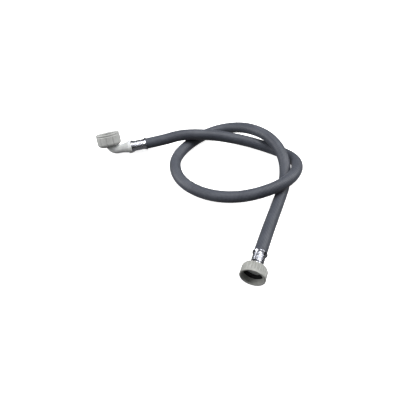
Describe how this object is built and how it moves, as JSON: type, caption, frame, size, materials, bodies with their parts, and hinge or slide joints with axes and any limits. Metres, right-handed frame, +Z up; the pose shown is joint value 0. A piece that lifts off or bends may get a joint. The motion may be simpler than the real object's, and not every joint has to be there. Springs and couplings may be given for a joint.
{
  "type": "appliance water supply hose",
  "caption": "Flexible grey water supply hose in a loose overhand knot, with a straight union nut on one end, an elbowed union nut on the other and crimped metal ferrules.",
  "frame": {"origin": "on the floor, under the middle of the box round the two end fittings", "axes": "+Z up from the floor, -Y out of the mouth of the straight union nut, +X from the elbow end towards the straight end"},
  "size_m": [0.2951, 0.2488, 0.0358],
  "materials": {
    "hose_cover": "matt, finely textured",
    "braid": "woven yarn",
    "inner_tube": "smooth",
    "tail_plastic": "moulded",
    "elbow_plastic": "moulded",
    "nut_plastic": "moulded",
    "ferrule_chrome": "polished",
    "washer_rubber": "matt"
  },
  "bodies": {
    "hose_assembly": {"hose_cover": "hose_cover", "hose_braid": "braid", "hose_inner_tube": "inner_tube", "straight_tail": "tail_plastic", "straight_ferrule": "ferrule_chrome", "elbow_body": "elbow_plastic", "elbow_ferrule": "ferrule_chrome"},
    "straight_washer_body": {"straight_washer": "washer_rubber"},
    "straight_nut_body": {"straight_nut": "nut_plastic"},
    "elbow_washer_body": {"elbow_washer": "washer_rubber"},
    "elbow_nut_body": {"elbow_nut": "nut_plastic"}
  },
  "joints": [
    {"name": "straight_nut_slide", "type": "slide", "parent": "hose_assembly", "child": "straight_washer_body", "axis": [0, -1, 0], "range_m": [0, 0.0012]},
    {"name": "straight_nut_spin", "type": "hinge", "parent": "straight_washer_body", "child": "straight_nut_body", "pos_m": [0.12975, -0.0773, 0.015], "axis": [0, -1, 0], "continuous": true},
    {"name": "elbow_nut_slide", "type": "slide", "parent": "hose_assembly", "child": "elbow_washer_body", "axis": [-0.3364, 0.389, 0.8576], "range_m": [0, 0.0012]},
    {"name": "elbow_nut_spin", "type": "hinge", "parent": "elbow_washer_body", "child": "elbow_nut_body", "pos_m": [-0.12437, 0.06044, 0.01568], "axis": [-0.3364, 0.389, 0.8576], "continuous": true}
  ]
}
